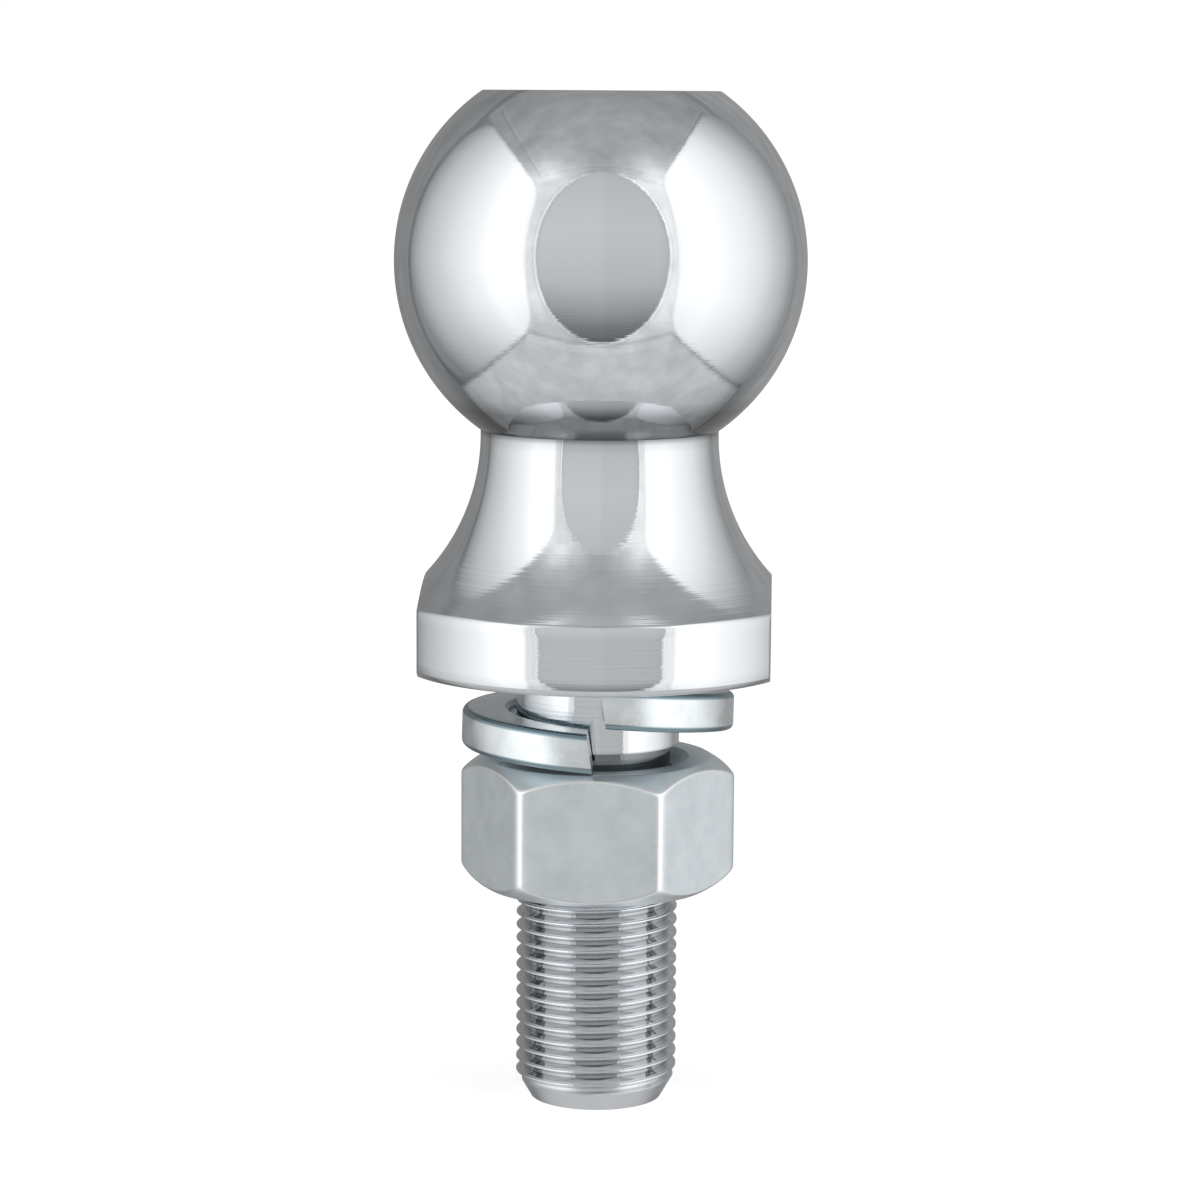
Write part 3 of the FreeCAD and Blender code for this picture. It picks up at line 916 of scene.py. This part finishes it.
    def onto_sheet(self, tree, direction, axis, side):
        """Where a direction meets the upright sheet one unit away along an axis, on a side."""
        part = add_node(tree, "ShaderNodeSeparateXYZ", links={0: direction}).outputs[axis]
        away = add_node(tree, "ShaderNodeMath", {"operation": "MULTIPLY"}, {0: part, 1: float(side)})
        ahead = add_node(tree, "ShaderNodeMath", {"operation": "MAXIMUM"}, {0: away, 1: 0.001})
        inverse = add_node(tree, "ShaderNodeMath", {"operation": "DIVIDE"}, {0: 1.0, 1: ahead})
        return add_node(tree, "ShaderNodeVectorMath", {"operation": "SCALE"}, {
            0: direction, "Scale": inverse,
        })

    def soft_boxes(self, tree, direction, lit):
        """A tall white sheet on each side, one unit away, with rounded corners. Each is brightest
        towards the front and fades to the rear and, shifted by "low", to the foot."""
        corner, blur = 0.34, 0.008
        boxes = {
            -1: {"foot": -0.93, "head": 1.22, "low": 0.4, "glow": [
                (-1.15, 1.1), (-1.0, 1.3), (-0.45, 1.3), (-0.3, 1.15), (-0.03, 0.96), (0.19, 0.78),
                (0.48, 0.6), (0.78, 0.36), (0.86, 0.3),
            ]},
            1: {"foot": -0.93, "head": 1.42, "low": 0.2, "glow": [
                (-1.1, 1.1), (-0.95, 1.3), (-0.4, 1.3), (-0.3, 1.23), (-0.05, 1.1), (0.19, 0.94),
                (0.42, 0.72), (0.92, 0.37), (1.12, 0.32),
            ]},
        }
        for side, box in boxes.items():
            front, rear = box["glow"][0][0], box["glow"][-1][0]
            middle = (float(side), (front + rear) / 2, (box["foot"] + box["head"]) / 2)
            half = (1.0, (rear - front) / 2 - corner, (box["head"] - box["foot"]) / 2 - corner)
            sheet = self.onto_sheet(tree, direction, "X", side)
            offset = add_node(tree, "ShaderNodeVectorMath", {"operation": "SUBTRACT"}, {
                0: sheet, 1: middle,
            })
            aside = add_node(tree, "ShaderNodeVectorMath", {"operation": "ABSOLUTE"}, {0: offset})
            past = add_node(tree, "ShaderNodeVectorMath", {"operation": "SUBTRACT"}, {
                0: aside, 1: half,
            })
            beyond = add_node(tree, "ShaderNodeVectorMath", {"operation": "MAXIMUM"}, {
                0: past, 1: (0, 0, 0),
            })
            # The corners' radius at the sheet's edge, and less inside it
            reach = add_node(tree, "ShaderNodeVectorMath", {"operation": "LENGTH"}, {0: beyond})
            reach = reach.outputs["Value"]
            inside = add_node(tree, "ShaderNodeMapRange", links={
                "Value": reach, "From Min": corner + blur, "From Max": corner - blur,
            })
            rim = greys(tree, reach, [
                (0.0, 1.0), (corner - 0.06, 1.0), (corner, 0.8), (corner + 0.1, 0.8),
            ])
            place = add_node(tree, "ShaderNodeSeparateXYZ", links={0: sheet}).outputs
            lower = greys(tree, place["Z"], [(-1.0, box["low"]), (0.0, 0.0)])
            depth = add_node(tree, "ShaderNodeMath", {"operation": "ADD"}, {0: place["Y"], 1: lower})
            glow = greys(tree, depth, box["glow"])
            dim = greys(tree, place["Z"], [(-1.0, 0.78), (-0.3, 1.0)])
            for shade in (dim, rim):
                glow = add_node(tree, "ShaderNodeVectorMath", {"operation": "MULTIPLY"}, {
                    0: glow, 1: shade,
                })
            lit = add_node(tree, "ShaderNodeMix", {"data_type": "RGBA"}, {
                0: inside, 6: lit, 7: glow,
            }).outputs[2]
        return lit

    def front_opening(self, tree, direction, lit):
        """The tall oval opening in the tent's front, with its piped edge, and the room behind the
        camera seen through it: pale above and dark at the foot."""
        middle, half_width, half_height, blur = (0.03, -1, 0.18), 0.76, 1.09, 0.005
        sheet = self.onto_sheet(tree, direction, "Y", -1)
        offset = add_node(tree, "ShaderNodeVectorMath", {"operation": "SUBTRACT"}, {
            0: sheet, 1: middle,
        })
        oval = add_node(tree, "ShaderNodeVectorMath", {"operation": "MULTIPLY"}, {
            0: offset, 1: (1 / half_width, 0, 1 / half_height),
        })
        reach = add_node(tree, "ShaderNodeVectorMath", {"operation": "LENGTH"}, {0: oval})
        reach = reach.outputs["Value"]
        parts = add_node(tree, "ShaderNodeSeparateXYZ", links={0: offset}).outputs
        beyond = greys(tree, parts["Z"], [
            (-1.1, 0.14), (-0.85, 0.22), (-0.6, 0.4), (-0.35, 0.57), (-0.1, 0.63), (0.2, 0.66),
            (1.05, 0.58),
        ])
        halves = greys(tree, parts["X"], [
            (-0.76, 0.96), (-0.7, 1.05), (-0.02, 1.05), (0.02, 1.0), (0.6, 1.0), (0.76, 0.9),
        ])
        seen = add_node(tree, "ShaderNodeVectorMath", {"operation": "MULTIPLY"}, {
            0: beyond, 1: halves,
        })
        inside = add_node(tree, "ShaderNodeMapRange", links={
            "Value": reach, "From Min": 1 + blur, "From Max": 1 - blur,
        })
        opened = add_node(tree, "ShaderNodeMix", {"data_type": "RGBA"}, {
            0: inside, 6: lit, 7: seen,
        })
        piping = greys(tree, reach, [
            (0.9, 1.0), (0.95, 1.0), (0.975, 0.7), (0.99, 1.2), (1.03, 1.2), (1.05, 0.75),
            (1.08, 1.0), (1.2, 1.0),
        ])
        return add_node(tree, "ShaderNodeVectorMath", {"operation": "MULTIPLY"}, {
            0: opened.outputs[2], 1: piping,
        })


class TOWBALL_PT_panel(bpy.types.Panel):
    """Lists the tow ball's pieces"""
    bl_idname = "TOWBALL_PT_panel"
    bl_label = "Tow Ball"
    bl_space_type = "VIEW_3D"
    bl_region_type = "UI"
    bl_category = "Tow Ball"

    def draw(self, context):
        for operator in OPERATORS:
            self.layout.operator(operator.bl_idname)


GROUPS = {
    "tow_ball": TowBallSizes,
    "tow_ball_washer": WasherSizes,
    "tow_ball_nut": NutSizes,
    "tow_ball_finishes": Finishes,
}
OPERATORS = [
    TOWBALL_OT_stage,
    TOWBALL_OT_tow_ball,
    TOWBALL_OT_spring_washer,
    TOWBALL_OT_hex_nut,
]


def register():
    for group in [*GROUPS.values(), *OPERATORS, TOWBALL_PT_panel]:
        bpy.utils.register_class(group)
    for name, group in GROUPS.items():
        setattr(bpy.types.Scene, name, PointerProperty(type=group))


def unregister():
    for name in GROUPS:
        delattr(bpy.types.Scene, name)
    for group in [TOWBALL_PT_panel, *OPERATORS, *GROUPS.values()]:
        bpy.utils.unregister_class(group)


def main():
    register()
    bpy.ops.towball.stage()
    bpy.ops.towball.tow_ball()
    bpy.ops.towball.spring_washer()
    bpy.ops.towball.hex_nut()


if __name__ == "__main__":
    main()
